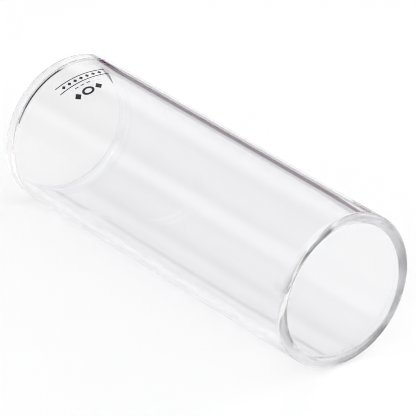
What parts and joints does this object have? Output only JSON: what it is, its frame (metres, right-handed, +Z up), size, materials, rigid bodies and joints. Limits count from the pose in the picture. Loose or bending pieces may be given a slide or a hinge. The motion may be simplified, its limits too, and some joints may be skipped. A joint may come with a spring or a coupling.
{
  "type": "guitar slide",
  "caption": "Clear glass guitar slide: a straight, open tube with rounded rims and a small fired print near one end, worn on a finger.",
  "frame": {"origin": "under the middle of the tube, where its side touches the surface that it lies on", "axes": "+X along the tube from the printed end to the plain end, +Y across the tube, +Z up"},
  "size_m": [0.069, 0.025, 0.025],
  "materials": {
    "glass": "clear, fire-polished",
    "enamel": "fired print, satin"
  },
  "bodies": {
    "root": {"glass_tube": "glass", "print_rules": "enamel", "print_lozenges": "enamel", "print_dashes": "enamel", "print_emblem": "enamel"}
  },
  "joints": []
}
